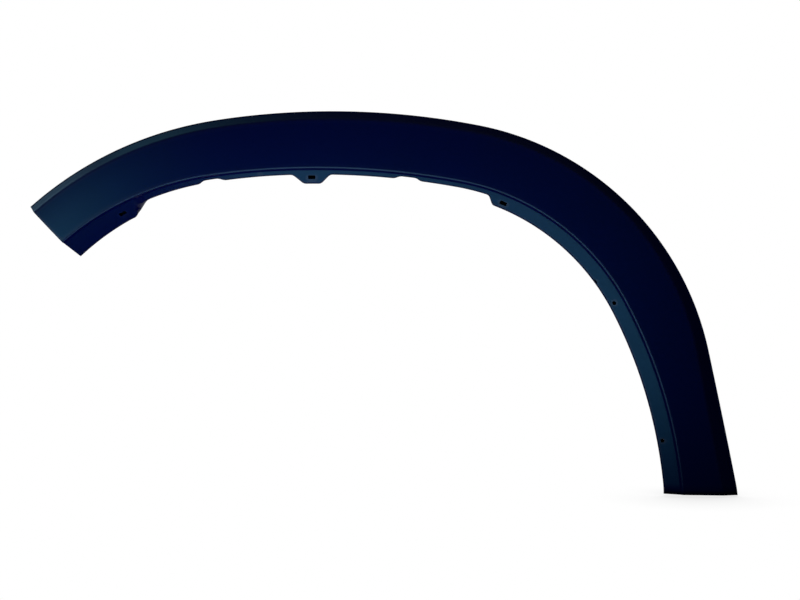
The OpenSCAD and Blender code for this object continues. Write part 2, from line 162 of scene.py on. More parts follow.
def place(angle, out, height):
    """A point of the moulding, in mm from the wheel centre, at a distance out from the opening
    line and a height off its plane. The front part sweeps in towards the nose of the car, and the
    foot rolls in over its last few millimetres."""
    leaning = angle - height * lean(angle) / mm_per_degree(angle)
    inner, away, _ = across_face(leaning)
    x, z = inner + out * away
    ahead = max(0.0, -SWEEP_START - x)
    sweep = SWEEP_RADIUS - math.sqrt(SWEEP_RADIUS**2 - ahead**2)
    roll = FOOT_ROLL * max(0.0, 1 - (z - FOOT_HEIGHT) / FOOT_ROLL_HEIGHT) ** 2
    return np.array([x, sweep + roll - height, z])


# The flange's free edge. The flange is trimmed to a narrow lip, with a wide stretch at the front,
# a small tab at the crown, a wide stretch down the leg, and two shallow reliefs that clear the
# fixings of the wheel's inner tub. The rear end of the front stretch is rolled back.

LIP, LIP_AT_FRONT, LIP_GROWS_FROM = 7.6, 8.7, 104.0
EDGE_SOFT = 2.5
CROWN_TAB, CROWN_TAB_WIDTH, CROWN_TAB_LENGTH, CROWN_TAB_RUN = 96.4, 18.0, 22.0, 12.0
RELIEFS, RELIEF_DEPTH, RELIEF_RUN = ((112.3, 17.5), (80.4, 19.5)), 3.0, 6.5
FRONT_SLOT, REAR_SLOT, SLOT_IN = 126.9, 64.1, 10.6

# A slanting end of a stretch is (middle, run in mm, way): its way is 1 where the flange changes
# forwards of it, and -1 where it changes rearwards.
LEG_FLANGE_END, LEG_FLANGE, FOOT_FLANGE = (66.2, 9.5, -1), 17.0, 19.8
FRONT_FLANGE_END, FRONT_FLANGE, FRONT_END_FLANGE = (124.0, 27.0, 1), 20.0, 22.3
END_HOLLOW = 1.3

# The roll grows and fades again between these shares of the slanting end.
ROLL_DEPTH, ROLL_WIDTH, ROLL_TUCK = 10.0, 4.8, 1.2
ROLL_RISE, ROLL_FALL = (0.1, 0.45), (0.82, 0.66)


def two_ends(at, length, run):
    """The two slanting ends of a tab or relief of that length."""
    half = (length + run) / 2 / mm_per_degree(at)
    return (at - half, run, 1), (at + half, run, -1)


crown_tab_ends = two_ends(CROWN_TAB, CROWN_TAB_LENGTH, CROWN_TAB_RUN)
relief_ends = [two_ends(at, length, RELIEF_RUN) for at, length in RELIEFS]


def area_under(x):
    """The area up to x under a ramp that climbs from 0 to 1 and then stays there."""
    return 0.0 if x < 0 else x * x / 2 if x < 1 else x - 0.5


def along_end(end, angle):
    """How far along a slanting end an angle is: 0 at its start and 1 past it."""
    return 0.5 + end[2] * (angle - end[0]) * mm_per_degree(end[0]) / end[1]


def rise(end, angle):
    """0 before a slanting end, 1 past it, with softened corners."""
    soft, t = EDGE_SOFT / end[1], along_end(end, angle)
    return (area_under(t + soft) - area_under(t - soft)) / (2 * soft)


def lip_width(angle):
    part = (angle - LIP_GROWS_FROM) / (FRONT_FLANGE_END[0] - LIP_GROWS_FROM)
    return mix(LIP, LIP_AT_FRONT, between_0_and_1(part))


def flange_width(angle):
    lip = lip_width(angle)
    up_leg = between_0_and_1((angle - foot_end) / (LEG_FLANGE_END[0] - foot_end))
    to_front_end = between_0_and_1((angle - FRONT_SLOT) / (FRONT_END - FRONT_SLOT))
    leg = mix(FOOT_FLANGE, LEG_FLANGE, up_leg)
    front = mix(FRONT_FLANGE, FRONT_END_FLANGE, to_front_end)
    tab = rise(crown_tab_ends[0], angle) * rise(crown_tab_ends[1], angle)
    reliefs = sum(rise(a, angle) * rise(b, angle) for a, b in relief_ends)
    return (
        lip
        + (CROWN_TAB_WIDTH - lip) * tab
        - RELIEF_DEPTH * reliefs
        + (leg - lip) * rise(LEG_FLANGE_END, angle)
        + (front - lip) * rise(FRONT_FLANGE_END, angle) ** END_HOLLOW
    )


def roll_back(angle):
    """0 to 1: how far the rear end of the front stretch is rolled back along its free edge."""
    t = along_end(FRONT_FLANGE_END, angle)
    rise_part, fall_part = ((t - a) / (b - a) for a, b in (ROLL_RISE, ROLL_FALL))
    return ease(rise_part) * ease(fall_part)


# The cross-section. The wall is an even 2.6 mm, as injection moulding asks: a rim that stands on
# the body panel, a small land, a bevel, a face with a slight crown, a rounded nose along the
# opening, a step and the slanted flange. Corners are rounded as the mould's cutters leave them.

WALL = 2.6
RIM_HEIGHT, LAND_DEPTH = 4.0, 12.0
LAND, LAND_ON_LEG, LAND_FROM, LAND_OVER = 1.5, 3.0, 30, 40
BEVEL, BEVEL_AT_FOOT, BEVEL_OVER = 9.5, 17.0, 50
FACE_RADIUS, FACE_TILT = 420.0, 3.0
FACE_PARTS = 9
NOSE_PAST = 0.5
STEP_DEPTH, STEP_IN, STEP_FOOT = 4.5, 1.8, 2.3
REAR_SLANT, FRONT_SLANT, SLANT_FROM, SLANT_OVER = 36.0, 54.0, 100, 28
EDGE_TURN, EDGE_DROP = 1.2, 1.6
CREASE_MARGIN = 0.4
ROLL_PARTS, ROLL_HOLLOW = (0.3, 0.5, 0.75), 1.3
CORNERS_PAST_NOSE = 4 + len(ROLL_PARTS)


def flange_height(angle, width):
    slant = mix(REAR_SLANT, FRONT_SLANT, ease((angle - SLANT_FROM) / SLANT_OVER))
    return -STEP_DEPTH - (width - STEP_IN) * math.tan(math.radians(slant))


def face_height(out):
    top = FACE_RADIUS * math.sin(math.radians(FACE_TILT))
    return math.sqrt(FACE_RADIUS**2 - (out - top) ** 2) - math.sqrt(FACE_RADIUS**2 - top**2)


def land_and_bevel(angle):
    """The widths of both. They are wider on the leg than over the crown."""
    land = mix(LAND_ON_LEG, LAND, ease((angle - LAND_FROM) / LAND_OVER))
    bevel = mix(BEVEL_AT_FOOT, BEVEL, ease((angle - foot_end) / BEVEL_OVER))
    return land, bevel


def outer_corners(angle):
    """The outer skin's corners as [out, height] rows, from the rim to the flange's free edge."""
    width = across_face(angle)[2]
    land, bevel = land_and_bevel(angle)
    bevel_in = width - land - bevel
    rolled = roll_back(angle)
    flange = flange_width(angle) - ROLL_TUCK * rolled
    turn = flange - EDGE_TURN
    crease = min(lip_width(angle), turn - CREASE_MARGIN)
    outs = [part * bevel_in / FACE_PARTS for part in range(FACE_PARTS, 0, -1)]

    def flange_corner(inwards):
        part = between_0_and_1(1 - (flange - inwards) / ROLL_WIDTH)
        drop = ROLL_DEPTH * rolled * part**ROLL_HOLLOW
        return (-inwards, flange_height(angle, inwards) - drop)

    return np.array(
        [
            (width, -LAND_DEPTH - RIM_HEIGHT),
            (width, -LAND_DEPTH),
            (width - land, -LAND_DEPTH),
            *[(out, face_height(out)) for out in outs],
            (-NOSE_PAST, face_height(-NOSE_PAST)),
            (-STEP_FOOT, flange_height(angle, STEP_FOOT)),
            flange_corner(crease),
            *[flange_corner(mix(crease, turn, part)) for part in (*ROLL_PARTS, 1.0)],
            (-flange, flange_corner(flange)[1] - EDGE_DROP),
        ]
    )


def unit(v):
    return v / np.linalg.norm(v)


def inward(v):
    return np.array([v[1], -v[0]])


def inner_corners(angle, thickness):
    """The outer corners set in by a thickness. The land is too small to have a corner inside."""
    c = outer_corners(angle)
    land, _ = land_and_bevel(angle)
    down_bevel = c[2] - c[3]
    line = [c[0], c[2] + down_bevel * land / down_bevel[0], *c[3:]]
    found = [line[0] - np.array([thickness, 0.0])]
    for before, corner, after in zip(line, line[1:], line[2:]):
        n1, n2 = inward(unit(before - corner)), inward(unit(corner - after))
        n = unit(n1 + n2)
        found.append(corner + n * thickness / (n @ n1))
    found.append(line[-1] + thickness * inward(unit(line[-2] - line[-1])))
    return np.array(found)


# Softening of each corner, as (length in mm, number of pieces). It takes at most a share of each
# side, and a plain corner is left as it is.
CORNER_SHARE = 0.45
PLAIN = (0, 0)
OUTER_SOFT = [(0.4, 3), (0.9, 5), (0.6, 3), (2.5, 6), *[PLAIN] * (FACE_PARTS - 1)]
OUTER_SOFT += [(2.1, 9), (0.8, 4), (0.5, 2), *[PLAIN] * len(ROLL_PARTS), (0.5, 3), (0.5, 3)]
INNER_SOFT = [(0.4, 2), (1.0, 3), (1.5, 3), *[PLAIN] * (FACE_PARTS - 1)]
INNER_SOFT += [(1.2, 4), (1.0, 3), (0.5, 2), *[PLAIN] * len(ROLL_PARTS), (0.3, 2), (0.4, 2)]


def cross_section(angle):
    """The whole closed outline of the wall at an angle, as [out, height] rows."""
    corners = [*outer_corners(angle), *inner_corners(angle, WALL)[::-1]]
    softs = OUTER_SOFT + INNER_SOFT[::-1]
    outline = []
    for i, (corner, (soft, pieces)) in enumerate(zip(corners, softs)):
        if not pieces:
            outline.append(corner)
            continue
        before, after = corners[i - 1], corners[(i + 1) % len(corners)]
        length = min(
            soft,
            CORNER_SHARE * np.linalg.norm(before - corner),
            CORNER_SHARE * np.linalg.norm(after - corner),
        )
        start, stop = (corner + length * unit(side - corner) for side in (before, after))
        for t in np.linspace(0, 1, pieces + 1):
            outline.append((1 - t) ** 2 * start + 2 * t * (1 - t) * corner + t**2 * stop)
    return np.array(outline)


# The shell. In the mould it is one skin from foot to front end. Here some five hundred
# cross-sections are joined up, with the two cut ends rounded over by a third of a millimetre.
# The part's zero is the centre of the crown tab's clip slot.

STATIONS = 480
END_ROUND = 0.3
END_STEPS = END_ROUND * np.array([0.0, 0.1, 0.3, 0.6, 1.0])
zero = place(CROWN_TAB, -SLOT_IN, flange_height(CROWN_TAB, SLOT_IN))


def set_in(outline, amount):
    """A closed outline moved in by an amount."""
    before, after = np.roll(outline, 1, axis=0), np.roll(outline, -1, axis=0)
    tangent = after - before
    normal = np.stack([tangent[:, 1], -tangent[:, 0]], axis=1)
    normal /= np.linalg.norm(normal, axis=1)[:, None]
    signed_area = np.sum(outline[:, 0] * after[:, 1] - after[:, 0] * outline[:, 1])
    return outline - np.sign(signed_area) * amount * normal


def rounded_end(end, onwards):
    """The rings of a cut end, from its flat on into the moulding: onwards is 1 or -1."""
    made = []
    for step in END_STEPS:
        cut_in = END_ROUND - math.sqrt(END_ROUND**2 - (END_ROUND - step) ** 2)
        angle = end + onwards * step / mm_per_degree(end)
        section = set_in(cross_section(end), cut_in)
        made.append(np.array([place(angle, *p) for p in section]))
    return made


def turned_out(mesh):
    """Makes every face of a closed mesh look outwards."""
    work = bmesh.new()
    work.from_mesh(mesh)
    bmesh.ops.recalc_face_normals(work, faces=work.faces)
    if work.calc_volume(signed=True) < 0:
        bmesh.ops.reverse_faces(work, faces=work.faces)
    work.to_mesh(mesh)
    work.free()


def closed_solid(name, rings, outline):
    """A mesh from rings of points in mm, each joined to the next. A flat outline of the same
    points shows how to fill both ends."""
    count = len(rings[0])
    points = (np.concatenate(rings) - zero) / 1000
    faces = [
        (
            r * count + i,
            r * count + (i + 1) % count,
            (r + 1) * count + (i + 1) % count,
            (r + 1) * count + i,
        )
        for r in range(len(rings) - 1)
        for i in range(count)
    ]
    filled = tessellate_polygon([[Vector((*p, 0.0)) for p in outline]])
    far = (len(rings) - 1) * count
    faces += [tuple(reversed(t)) for t in filled]
    faces += [tuple(far + i for i in t) for t in filled]
    mesh = bpy.data.meshes.new(name)
    mesh.from_pydata(points.tolist(), [], faces)
    piece = bpy.data.objects.new(name, mesh)
    bpy.context.scene.collection.objects.link(piece)
    turned_out(mesh)
    return piece


stations = np.linspace(foot_end, FRONT_END, STATIONS)[1:-1]
shell_rings = rounded_end(foot_end, 1)
shell_rings += [np.array([place(a, *p) for p in cross_section(a)]) for a in stations]
shell_rings += rounded_end(FRONT_END, -1)[::-1]
moulding = closed_solid("arch_moulding_skin", shell_rings, cross_section(foot_end))


# Ribs and clip seats on the back. Thin ribs cross the channel behind the face, and six small boxes
# with keyhole slots take push-in clips. They are moulded on in one with the shell, and are hidden
# once it is fitted.

# What is moulded on starts inside the wall. A direction is taken from a small turn each way.
SUNK_IN_WALL, SEAT_TURN = 0.8, 0.5
RIB_THICKNESS, RIB_ON_FLANGE, RIB_ON_BEVEL = 1.6, 4.0, 0.6
END_RIB_IN = 1
SEAT_COUNT, SEAT_MARGIN, SEAT_GAP = 6, 9, 1.5
SEAT_LENGTH, SEAT_WIDTH, SEAT_WALL = 26.0, 20.0, 2.0
SEAT_SLOT, KEYHOLE_POINTS = 8.0, 17
SEAT_HEIGHT = LAND_DEPTH + RIM_HEIGHT - WALL - SEAT_GAP + SUNK_IN_WALL
seat_angles = [
    mix(FRONT_END - SEAT_MARGIN, foot_end + SEAT_MARGIN, i / (SEAT_COUNT - 1))
    for i in range(SEAT_COUNT)
]
rib_angles = [mix(a, b, 0.5) for a, b in zip(seat_angles, seat_angles[1:])]
rib_angles += [foot_end + END_RIB_IN, FRONT_END - END_RIB_IN]


def stood_on(origin, along, up, outline, levels):
    """Rings of a flat outline, one at each level. Its X runs along, and the levels go up."""
    z = unit(up)
    y = unit(np.cross(z, along))
    x = np.cross(y, z)
    return [
        np.array([origin + x * p[0] + y * p[1] + z * level for p in outline])
        for level in levels
    ]


def rib_solid(angle):
    line = inner_corners(angle, WALL - SUNK_IN_WALL)
    step_foot = len(line) - CORNERS_PAST_NOSE
    down_flange = unit(line[step_foot + 1] - line[step_foot])
    on_flange = line[step_foot] + RIB_ON_FLANGE * down_flange
    on_bevel = mix(line[2], line[1], RIB_ON_BEVEL)
    outline = np.array([on_bevel, *line[2 : step_foot + 1], on_flange])
    inner, away, _ = across_face(angle)
    sideways = np.array([away[1], 0.0, -away[0]]) * RIB_THICKNESS
    near = np.array([place(angle, *p) for p in outline])
    near[:, 0] = inner[0] + away[0] * outline[:, 0]
    near[:, 2] = inner[1] + away[1] * outline[:, 0]
    return closed_solid("rib", [near, near + sideways], outline)


def seat_solids(angle):
    """The walls of a clip seat, open at one side, and its top with the keyhole slot."""
    out = (across_face(angle)[2] - sum(land_and_bevel(angle))) / 2
    here = place(angle, out, face_height(out) - WALL + SUNK_IN_WALL)
    along = place(angle + SEAT_TURN, out, 0) - place(angle - SEAT_TURN, out, 0)
    rising = place(angle, out + 1, face_height(out + 1)) - place(angle, out, face_height(out))
    up = np.cross(along, rising)
    x, y, w, s = SEAT_LENGTH / 2, SEAT_WIDTH / 2, SEAT_WALL, SEAT_SLOT / 2
    walls = [(-x, -y), (x, -y), (x, y), (x - w, y)]
    walls += [(x - w, w - y), (w - x, w - y), (w - x, y), (-x, y)]
    turns = np.linspace(0, -math.pi, KEYHOLE_POINTS)
    keyhole = [(s * math.cos(a), s * math.sin(a)) for a in turns]
    top = [(-x, -y), (x, -y), (x, y), (s, y), *keyhole, (-s, y), (-x, y)]
    wall_rings = stood_on(here, along, up, walls, (0.0, SEAT_HEIGHT))
    top_rings = stood_on(here, along, up, top, (SEAT_HEIGHT - w, SEAT_HEIGHT))
    return [
        closed_solid("seat_walls", wall_rings, walls),
        closed_solid("seat_top", top_rings, top),
    ]


added = [solid for angle in seat_angles for solid in seat_solids(angle)]
added += [rib_solid(angle) for angle in rib_angles]


# Clip slots, screw holes and a small moulding pocket in the flange. The slots take square-necked
# panel clips and the holes 4.2 mm screws. Each is cut square to the flange with a small lead-in,
# and runs on through a short sleeve moulded on the flange's back.

SLOT_LENGTH, SLOT_WIDTH, SLOT_CORNER = 8.6, 5.0, 0.7
SLOTS_AT = (CROWN_TAB, FRONT_SLOT, REAR_SLOT)
SCREW_HOLE, HOLE_STEP, SCREWS_AT = 4.8, 7.5, ((39.2, 12.0), (13.9, 13.7))
SLEEVE_LENGTH, SLEEVE_WALL = 7.0, 1.6
LEAD_IN, THROUGH = 0.15, 6.0
POCKET, POCKET_LENGTH, POCKET_WIDTH, POCKET_CORNER = 43.9, 5.0, 2.4, 0.6
POCKET_DEPTH, POCKET_MARGIN = 1.5, 0.6
CORNER_POINTS = 5
FLANGE_TURN = 0.1


def on_flange(angle, width):
    """Centre, direction along and direction out of the flange's outer skin."""
    height = flange_height(angle, width)
    here = place(angle, -width, height)
    ahead = place(angle + FLANGE_TURN, -width, height)
    behind = place(angle - FLANGE_TURN, -width, height)
    along = ahead - behind
    down = place(angle, -width - 1, flange_height(angle, width + 1)) - here
    return here, along, np.cross(along, down)


def rounded_slot(length, width, corner):
    outline = []
    for cx, cy, turn in ((1, 1, 0), (-1, 1, 90), (-1, -1, 180), (1, -1, 270)):
        middle = np.array([cx * (length / 2 - corner), cy * (width / 2 - corner)])
        for step in np.linspace(0, 90, CORNER_POINTS):
            outline.append(middle + corner * direction(turn + step))
    return outline


def circle(radius):
    return [radius * direction(a) for a in np.arange(0, 360, HOLE_STEP)]


def cutter(name, angle, width, outline):
    """A punch through the flange that widens at its outer skin, where the lead-in is."""
    here, along, out = on_flange(angle, width)
    plain = np.array(outline)
    wide = plain + LEAD_IN * plain / np.linalg.norm(plain, axis=1)[:, None]
    far = -WALL - SLEEVE_LENGTH - THROUGH
    punch = []
    for level, shape in ((far, plain), (-LEAD_IN, plain), (0.0, wide), (THROUGH, wide)):
        punch += stood_on(here, along, out, shape, (level,))
    return closed_solid(name, punch, outline)


def sleeve(angle, width, outline):
    levels = (-WALL - SLEEVE_LENGTH, SUNK_IN_WALL - WALL)
    return closed_solid("sleeve", stood_on(*on_flange(angle, width), outline, levels), outline)


def pocket():
    """A blind slot beside the free edge."""
    inwards = flange_width(POCKET) - POCKET_MARGIN - POCKET_WIDTH / 2
    outline = rounded_slot(POCKET_LENGTH, POCKET_WIDTH, POCKET_CORNER)
    levels = (-POCKET_DEPTH, THROUGH)
    return closed_solid("pocket", stood_on(*on_flange(POCKET, inwards), outline, levels), outline)


slot_outline = rounded_slot(SLOT_LENGTH, SLOT_WIDTH, SLOT_CORNER)
cut = [cutter("slot", angle, SLOT_IN, slot_outline) for angle in SLOTS_AT]
cut += [cutter("hole", angle, width, circle(SCREW_HOLE / 2)) for angle, width in SCREWS_AT]

box_x, box_y = SLOT_LENGTH / 2 + SLEEVE_WALL, SLOT_WIDTH / 2 + SLEEVE_WALL
box_outline = [(-box_x, -box_y), (box_x, -box_y), (box_x, box_y), (-box_x, box_y)]
tube_outline = circle(SCREW_HOLE / 2 + SLEEVE_WALL)
added += [sleeve(angle, SLOT_IN, box_outline) for angle in SLOTS_AT]
added += [sleeve(angle, width, tube_outline) for angle, width in SCREWS_AT]
cut.append(pocket())


# One moulding: what is moulded on is joined to the shell, and what is cut is taken off. Rounded
# corners are shaded smooth, and only real creases stay sharp.

SHARP_FROM = 32

for solids, operation in ((added, "UNION"), (cut, "DIFFERENCE")):
    for solid in solids:
        joining = moulding.modifiers.new(solid.name, "BOOLEAN")
        joining.operation, joining.solver, joining.object = operation, "MANIFOLD", solid
bpy.context.view_layer.update()
finished = bpy.data.meshes.new_from_object(
    moulding.evaluated_get(bpy.context.evaluated_depsgraph_get())
)
moulding.modifiers.clear()
moulding.data = finished
for solid in added + cut:
    bpy.data.objects.remove(solid)
finished.name = "arch_moulding_skin"
finished.polygons.foreach_set("use_smooth", [True] * len(finished.polygons))
finished.set_sharp_from_angle(angle=math.radians(SHARP_FROM))
even = moulding.modifiers.new("even_shading", "WEIGHTED_NORMAL")
even.keep_sharp = True


# The finish: black polypropylene, as it comes from a fine-grained mould. To the eye it is a cold
# navy body under a satin, bluish shine. The real grain is about a quarter of a millimetre; it is
# drawn at 0.9 mm, so that it shows. Slow changes of colour and gloss follow the plastic's flow.

# The third colour is the near-black painted as shade into slots, holes and the groove behind the
# nose.
BODY_BLUE, BODY_BLACK, RECESS_PAINTED_SHADE = "#00002B", "#000026", "#000004"
SHINE = "#307E95"
POLYPROPYLENE_IOR = 1.5
ROUGHNESS_LOW, ROUGHNESS_HIGH = 0.38, 0.43
GRAIN_MM, GRAIN_DETAIL, GRAIN_BREAK = 0.9, 3.0, 0.6
GRAIN_STRENGTH, GRAIN_DEPTH_MM = 0.35, 0.06
FLOW_MM, FLOW_DETAIL = 70.0, 2.0


def linear(colour):
    """An sRGB hex colour as the linear values that shaders take."""
    parts = [int(colour[i : i + 2], 16) / 255 for i in (1, 3, 5)]
    return tuple(
        p / 12.92 if p <= 0.04045 else ((p + 0.055) / 1.055) ** 2.4 for p in parts
    ) + (1.0,)


def node(tree, kind, settings=None, inputs=None):
    """Adds a node. A setting is a property; an input is a value, or the socket linked to it."""
    made = tree.nodes.new(kind)
    for key, value in (settings or {}).items():
        setattr(made, key, value)
    for key, value in (inputs or {}).items():
        if isinstance(value, bpy.types.NodeSocket):
            tree.links.new(value, made.inputs[key])
        else:
            made.inputs[key].default_value = value
    return made


def fresh_material(name):
    material = bpy.data.materials.new(name)
    material.use_nodes = True
    material.node_tree.nodes.clear()
    return material, material.node_tree


grained_polypropylene, tree = fresh_material("grained_black_polypropylene")
spot = node(tree, "ShaderNodeTexCoord").outputs["Object"]
grain = node(
    tree,
    "ShaderNodeTexNoise",
    inputs={
        "Vector": spot,
        "Scale": 1000 / GRAIN_MM,
        "Detail": GRAIN_DETAIL,
        "Roughness": GRAIN_BREAK,
    },
).outputs[0]
flow = node(
    tree,
    "ShaderNodeTexNoise",
    inputs={"Vector": spot, "Scale": 1000 / FLOW_MM, "Detail": FLOW_DETAIL},
).outputs[0]
body = node(
    tree,
    "ShaderNodeMix",
    {"data_type": "RGBA"},
    {"Factor": flow, "A": linear(BODY_BLUE), "B": linear(BODY_BLACK)},
).outputs["Result"]
roughness = node(
    tree,
    "ShaderNodeMapRange",
    inputs={"Value": flow, "To Min": ROUGHNESS_LOW, "To Max": ROUGHNESS_HIGH},
).outputs[0]
bump = node(
    tree,
    "ShaderNodeBump",
    inputs={"Height": grain, "Strength": GRAIN_STRENGTH, "Distance": GRAIN_DEPTH_MM / 1000},
).outputs[0]

# Painted highlight: rounded edges get a thin clear coat, so they shine a little whiter than the
# flat faces. Pointiness is 0.5 where a surface is flat, and more where it is rounded.
EDGE_HIGHLIGHT_FROM, EDGE_HIGHLIGHT_FULL = 0.5025, 0.506
EDGE_HIGHLIGHT_COAT, EDGE_HIGHLIGHT_ROUGHNESS = 0.08, 0.4
edge_highlight = node(
    tree,
    "ShaderNodeMapRange",
    inputs={
        "Value": node(tree, "ShaderNodeNewGeometry").outputs["Pointiness"],
        "From Min": EDGE_HIGHLIGHT_FROM,
        "From Max": EDGE_HIGHLIGHT_FULL,
        "To Max": EDGE_HIGHLIGHT_COAT,
    },
).outputs[0]

# Painted shade: where ambient occlusion finds other surfaces close by, as inside slots and holes
# and in the groove behind the nose, the body colour is darkened towards near-black and the shine
# is lowered. The reach is in metres, and full shine is the shader's own middle setting.
PAINTED_SHADE_REACH, PAINTED_SHADE_DEEP, PAINTED_SHADE_NONE = 0.01, 0.6, 0.97
FULL_SHINE = 0.5
open_air = node(
    tree, "ShaderNodeAmbientOcclusion", {"samples": 8}, {"Distance": PAINTED_SHADE_REACH}
).outputs["AO"]
outside_painted_shade = node(
    tree,
    "ShaderNodeMapRange",
    inputs={"Value": open_air, "From Min": PAINTED_SHADE_DEEP, "From Max": PAINTED_SHADE_NONE},
).outputs[0]
shine_under_painted_shade = node(
    tree, "ShaderNodeMapRange", inputs={"Value": outside_painted_shade, "To Max": FULL_SHINE}
).outputs[0]
body_or_painted_shade = node(
    tree,
    "ShaderNodeMix",
    {"data_type": "RGBA"},
    {"Factor": outside_painted_shade, "A": linear(RECESS_PAINTED_SHADE), "B": body},
).outputs["Result"]
surface = node(
    tree,
    "ShaderNodeBsdfPrincipled",
    inputs={
        "Base Color": body_or_painted_shade,
        "Roughness": roughness,
        "IOR": POLYPROPYLENE_IOR,
        "Specular IOR Level": shine_under_painted_shade,
        "Specular Tint": linear(SHINE),
        "Coat Weight": edge_highlight,
        "Coat Roughness": EDGE_HIGHLIGHT_ROUGHNESS,
        "Normal": bump,
    },
).outputs[0]
node(tree, "ShaderNodeOutputMaterial", inputs={"Surface": surface})
finished.materials.clear()
finished.materials.append(grained_polypropylene)
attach(moulding, "root")
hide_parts("arch_moulding")


# The floor and the backdrop: boards in matt white paint, one under the foot and one behind. They
# are white where they are looked at, with a painted soft shadow of what stands close by: their
# white glow is dimmed where ambient occlusion finds things near. They light the moulding only as a
# mid grey does, and from behind they are clear, so they never hide the part.

FLOOR_Z = solid_box[0].z - 0.001
FLOOR_LEFT, FLOOR_RIGHT, FLOOR_FRONT, FLOOR_BACK = -1.2, 1.3, -0.9, 1.38
BACKDROP_Y, BACKDROP_LEFT, BACKDROP_RIGHT = 1.5, -0.9, 1.12
BACKDROP_FOOT, BACKDROP_TOP = -0.6, 0.65
WHITE, GREY = "#FFFFFF", "#808080"
SHADOW_REACH, SHADOW_FULL, SHADOW_TONE = 0.1, 0.3, 0.72


def stage_sheet(name, sheets, material):
    """Flat sheets of the studio, each given by its four corners."""
    mesh = bpy.data.meshes.new(name)
    corners = [corner for sheet in sheets for corner in sheet]
    quads = [tuple(range(4 * i, 4 * i + 4)) for i in range(len(sheets))]
    mesh.from_pydata(corners, [], quads)
    mesh.materials.append(material)
    made = bpy.data.objects.new(name, mesh)
    bpy.context.scene.collection.objects.link(made)
    return made


def upright_sheet(x0, x1, z0, z1, y):
    return [(x0, y, z0), (x1, y, z0), (x1, y, z1), (x0, y, z1)]


def flat_sheet(x0, x1, y0, y1, z):
    return [(x0, y0, z), (x1, y0, z), (x1, y1, z), (x0, y1, z)]


def looked_at(tree):
    """1 for what the camera sees itself, mirrored or through glass."""
    rays = node(tree, "ShaderNodeLightPath").outputs
    seen = rays["Is Camera Ray"]
    for ray in ("Is Glossy Ray", "Is Transmission Ray"):
        seen = node(
            tree, "ShaderNodeMath", {"operation": "MAXIMUM"}, {0: seen, 1: rays[ray]}
        ).outputs[0]
    return seen


white_paint, tree = fresh_material("matt_white_paint")
# Painted shadow: the white glow is dimmed near other things, as ambient occlusion finds them.
clear_around = node(
    tree, "ShaderNodeAmbientOcclusion", {"samples": 16}, {"Distance": SHADOW_REACH}
).outputs["AO"]
shade = node(
    tree,
    "ShaderNodeMapRange",
    inputs={"Value": clear_around, "From Min": SHADOW_FULL, "To Min": SHADOW_TONE},
).outputs[0]
white = node(
    tree, "ShaderNodeEmission", inputs={"Color": linear(WHITE), "Strength": shade}
).outputs[0]
matt = node(tree, "ShaderNodeBsdfDiffuse", inputs={"Color": linear(GREY)}).outputs[0]
front = node(
    tree, "ShaderNodeMixShader", inputs={0: looked_at(tree), 1: matt, 2: white}
).outputs[0]
clear = node(tree, "ShaderNodeBsdfTransparent").outputs[0]
behind = node(tree, "ShaderNodeNewGeometry").outputs["Backfacing"]
both = node(tree, "ShaderNodeMixShader", inputs={0: behind, 1: front, 2: clear}).outputs[0]
node(tree, "ShaderNodeOutputMaterial", inputs={"Surface": both})

floor = flat_sheet(FLOOR_LEFT, FLOOR_RIGHT, FLOOR_FRONT, FLOOR_BACK, FLOOR_Z)
stage_sheet("floor", [floor], white_paint)
backdrop = upright_sheet(
    BACKDROP_LEFT, BACKDROP_RIGHT, BACKDROP_FOOT, BACKDROP_TOP, BACKDROP_Y
)
stage_sheet("backdrop", [backdrop], white_paint)


# The drapes: black cotton hung all round, laid on the floor and stretched overhead. They show only
# in the moulding's shine, and keep the rest of the white room out of it. A gap in the cloth behind
# the moulding lets its rolled edge catch the white floor.

BLACK = "#000000"
DRAPE_LEFT, DRAPE_RIGHT, DRAPE_FRONT, DRAPE_BACK = -3.4, 2.2, -2.4, 1.45
DRAPE_FOOT, DRAPE_TOP = FLOOR_Z + 0.0005, 2.4
GAP_LEFT, GAP_RIGHT, GAP_FRONT = -0.3, -0.02, 0.5


def side_sheet(x, y0, y1, z0, z1):
    return [(x, y0, z0), (x, y1, z0), (x, y1, z1), (x, y0, z1)]


black_cotton, tree = fresh_material("black_cotton")
cotton = node(tree, "ShaderNodeBsdfDiffuse", inputs={"Color": linear(BLACK)}).outputs[0]
node(tree, "ShaderNodeOutputMaterial", inputs={"Surface": cotton})
drapes = stage_sheet(
    "black_drapes",
    [
        flat_sheet(DRAPE_LEFT, DRAPE_RIGHT, DRAPE_FRONT, GAP_FRONT, DRAPE_FOOT),
        flat_sheet(DRAPE_LEFT, GAP_LEFT, GAP_FRONT, FLOOR_BACK, DRAPE_FOOT),
        flat_sheet(GAP_RIGHT, DRAPE_RIGHT, GAP_FRONT, FLOOR_BACK, DRAPE_FOOT),
        flat_sheet(DRAPE_LEFT, DRAPE_RIGHT, DRAPE_FRONT, DRAPE_BACK, DRAPE_TOP),
        upright_sheet(DRAPE_LEFT, DRAPE_RIGHT, DRAPE_FOOT, DRAPE_TOP, DRAPE_FRONT),
        side_sheet(DRAPE_LEFT, DRAPE_FRONT, DRAPE_BACK, DRAPE_FOOT, DRAPE_TOP),
        side_sheet(DRAPE_RIGHT, DRAPE_FRONT, DRAPE_BACK, DRAPE_FOOT, DRAPE_TOP),
        upright_sheet(DRAPE_LEFT, BACKDROP_LEFT, DRAPE_FOOT, DRAPE_TOP, DRAPE_BACK),
        upright_sheet(BACKDROP_RIGHT, DRAPE_RIGHT, DRAPE_FOOT, DRAPE_TOP, DRAPE_BACK),
        upright_sheet(BACKDROP_LEFT, BACKDROP_RIGHT, BACKDROP_TOP, DRAPE_TOP, DRAPE_BACK),
    ],
    black_cotton,
)
drapes.visible_camera = drapes.visible_transmission = False
drapes.visible_diffuse = drapes.visible_shadow = False


